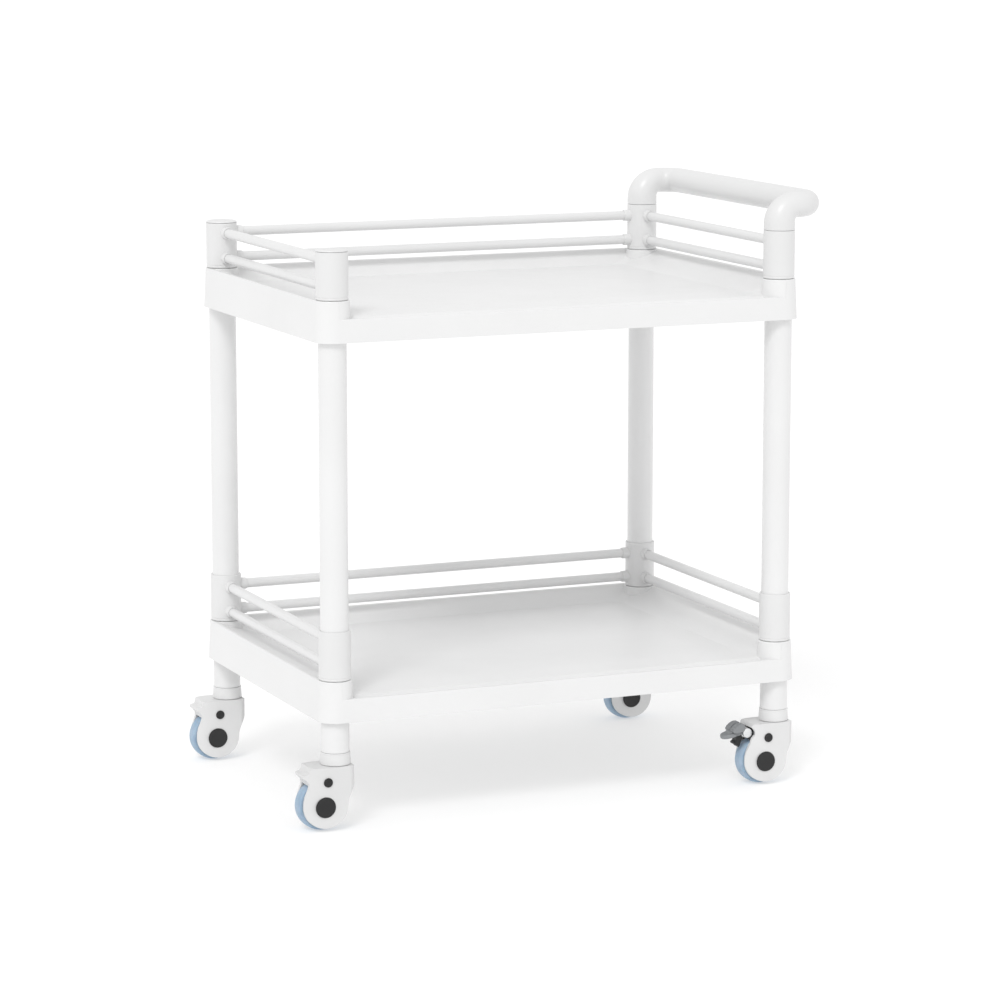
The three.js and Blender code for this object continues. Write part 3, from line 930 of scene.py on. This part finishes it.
def make_link():
    """The bright drum the pedal hangs from, slotted down its middle, and its arm."""
    outline = in_mm([(2, -14.6), (7.6, -14.6), (7.6, 14.6), (2, 14.6)])
    drum = turned_crosswise(rounded_profile(outline, 0.8 * MM), 40, place=(-51.5 * MM, 0, 82.6 * MM))
    arm = [(-50, 76.4), (-54, 75), (-58.5, 77), (-60, 83), (-59, 90), (-54, 90.4), (-50, 88)]
    combine(drum, plate(in_mm(arm), 8.6 * MM), "UNION")
    slot = [(-62, 70), (-53.5, 70), (-53.5, 96), (-62, 96)]
    combine(drum, plate(in_mm(slot), 1.9 * MM), "DIFFERENCE")
    tidy_mesh(drum)
    return smooth(drum)


def make_liner():
    """Dark liner behind the drum, inside the front of a braked hood."""
    outline = [(-45.5, 66.6), (-39.4, 72.2), (-37.4, 83), (-40.3, 90.6), (-42.4, 90.2), (-40.4, 83),
               (-42.2, 74)]
    return soften_edges(plate(in_mm(outline), 15.8 * MM), 0.3 * MM, 1)


def fit_caster(corner, models):
    """Hood, stem, axle, wheel and cover buttons under one post."""
    axis = post_axis(corner)
    hub = axis + Vector((WHEEL_X, 0, WHEEL_R))
    caster, wheel = f"caster_{corner}", f"wheel_{corner}"
    hood = copy_piece(models["braked" if corner.endswith("right") else "plain"], axis)
    finish_piece(hood, f"hood_{corner}", caster, "caster_plastic", CASTER_PLASTIC, f"housing_{corner}")
    stem = copy_piece(models["stem"], axis)
    finish_piece(stem, f"stem_{corner}", caster, "caster_plastic", STEEL)
    pin = copy_piece(models["axle"], hub)
    finish_piece(pin, f"axle_pin_{corner}", caster, "black_plastic", BLACK_PLASTIC, f"axle_{corner}")
    core, core_node = copy_piece(models["core"], hub), f"wheel_core_{corner}"
    finish_piece(core, f"wheel_centre_{corner}", wheel, "core_plastic", CORE_PLASTIC, core_node)
    tread = copy_piece(models["tread"], hub)
    finish_piece(tread, f"tread_{corner}", wheel, "tyre_rubber", TYRE, f"tyre_{corner}")
    for side, turn in (("back", 0), ("front", math.pi)):
        node = f"button_{side}_{corner}"
        place = middle(node)
        stud = copy_piece(models["button"], (0, 0, 0))
        settle(stud, turn=(0, 0, turn))
        settle(stud, (place.x, axis.y, place.z))
        finish_piece(stud, f"stud_{side}_{corner}", caster, "black_plastic", BLACK_PLASTIC, node)


def fit_brake(corner, models):
    """Pedal, shoe and link that turn together, and the liner behind them."""
    axis, body = post_axis(corner), f"pedal_{corner}"
    foot, foot_node = copy_piece(models["pedal"], axis), f"brake_pedal_{corner}"
    finish_piece(foot, f"brake_foot_{corner}", body, "pedal_plastic", PEDAL_PLASTIC, foot_node)
    shoe = copy_piece(models["shoe"], axis)
    finish_piece(shoe, f"brake_shoe_{corner}", body, "black_plastic", BLACK_PLASTIC)
    link = copy_piece(models["link"], axis)
    finish_piece(link, f"brake_link_{corner}", body, "pedal_plastic", STEEL)
    liner, caster = copy_piece(models["liner"], axis), f"caster_{corner}"
    finish_piece(liner, f"brake_liner_{corner}", caster, "black_plastic", BLACK_PLASTIC)


def make_casters():
    """Models each kind of piece once about the post axis, and fits copies at the corners."""
    models = {
        "plain": make_housing(False), "braked": make_housing(True), "stem": make_stem(),
        "axle": make_axle(), "core": make_core(), "tread": make_tread(), "button": make_button(),
        "pedal": make_pedal(), "shoe": make_shoe(), "link": make_link(), "liner": make_liner()}
    for corner in CORNERS:
        fit_caster(corner, models)
        if corner.endswith("right"):
            fit_brake(corner, models)
    for model in models.values():
        bpy.data.objects.remove(model)


# ---------------------------------------------------------------- studio

def studio_floor():
    """Near-white ground that glows a little and can be seen through from below."""
    deselect_all()
    bpy.ops.mesh.primitive_plane_add(size=GROUND_SIZE)
    floor = bpy.context.object
    floor.name = "studio_floor"
    material, tree, shader = new_material("studio floor")
    tone = tint(tree, pattern(tree, 1.5, 2), grey(0.58), grey(0.59))
    tree.links.new(tone, shader.inputs["Base Color"])
    shader.inputs["Emission Color"].default_value = (1, 1, 1, 1)
    shader.inputs["Emission Strength"].default_value = GROUND_GLOW
    shader.inputs["Roughness"].default_value = 0.9
    shader.inputs["Specular IOR Level"].default_value = 0.1
    see_through = tree.nodes.new("ShaderNodeBsdfTransparent")
    sides = tree.nodes.new("ShaderNodeNewGeometry")
    mix = tree.nodes.new("ShaderNodeMixShader")
    tree.links.new(sides.outputs["Backfacing"], mix.inputs["Fac"])
    tree.links.new(shader.outputs["BSDF"], mix.inputs[1])
    tree.links.new(see_through.outputs["BSDF"], mix.inputs[2])
    tree.links.new(mix.outputs["Shader"], tree.nodes["Material Output"].inputs["Surface"])
    floor.data.materials.append(material)


def studio_light():
    """An even white sky and a broad, weak sun from the front left."""
    world = bpy.data.worlds.new("studio")
    world.use_nodes = True
    background = world.node_tree.nodes["Background"]
    background.inputs["Color"].default_value = (1, 1, 1, 1)
    background.inputs["Strength"].default_value = SKY_STRENGTH
    bpy.context.scene.world = world
    bpy.ops.object.light_add(type="SUN", location=(0, 0, 4))
    key = bpy.context.object
    key.name = "key"
    key.data.energy = SUN_STRENGTH
    key.data.angle = math.radians(SUN_SPREAD)
    key.rotation_euler = Vector(SUN_DIRECTION).to_track_quat("-Z", "Y").to_euler()
    bpy.context.scene.view_settings.view_transform = "Standard"


def studio_camera():
    """A long lens from the front left, a little above the upper tray."""
    data = bpy.data.cameras.new("camera")
    camera = bpy.data.objects.new("camera", data)
    bpy.context.scene.collection.objects.link(camera)
    middle_x = middle("upper_tray").x
    camera.location = (middle_x + CAMERA_SHIFT[0], CAMERA_SHIFT[1], CAMERA_SHIFT[2])
    camera.rotation_euler = (math.radians(90 - CAMERA_DOWN), 0, -math.radians(CAMERA_TURN))
    data.lens = CAMERA_LENS
    data.sensor_width = 36
    data.clip_end = 400
    bpy.context.scene.camera = camera


studio_camera()
studio_light()
studio_floor()
for tray_node in ("lower_tray", "upper_tray"):
    make_tray(tray_node)
make_posts()
for post_corner in CORNERS:
    for tray_level in ("lower", "upper"):
        make_collar(post_corner, tray_level)
    make_foot(post_corner)
for cap_corner in ("front_left", "back_left"):
    make_cap(cap_corner)
for tray_level in ("lower", "upper"):
    for rod_side in ("left", "right", "back"):
        for rod_row in ("low", "high"):
            make_rod(f"{tray_level}_rod_{rod_side}_{rod_row}")
make_handle()
make_casters()
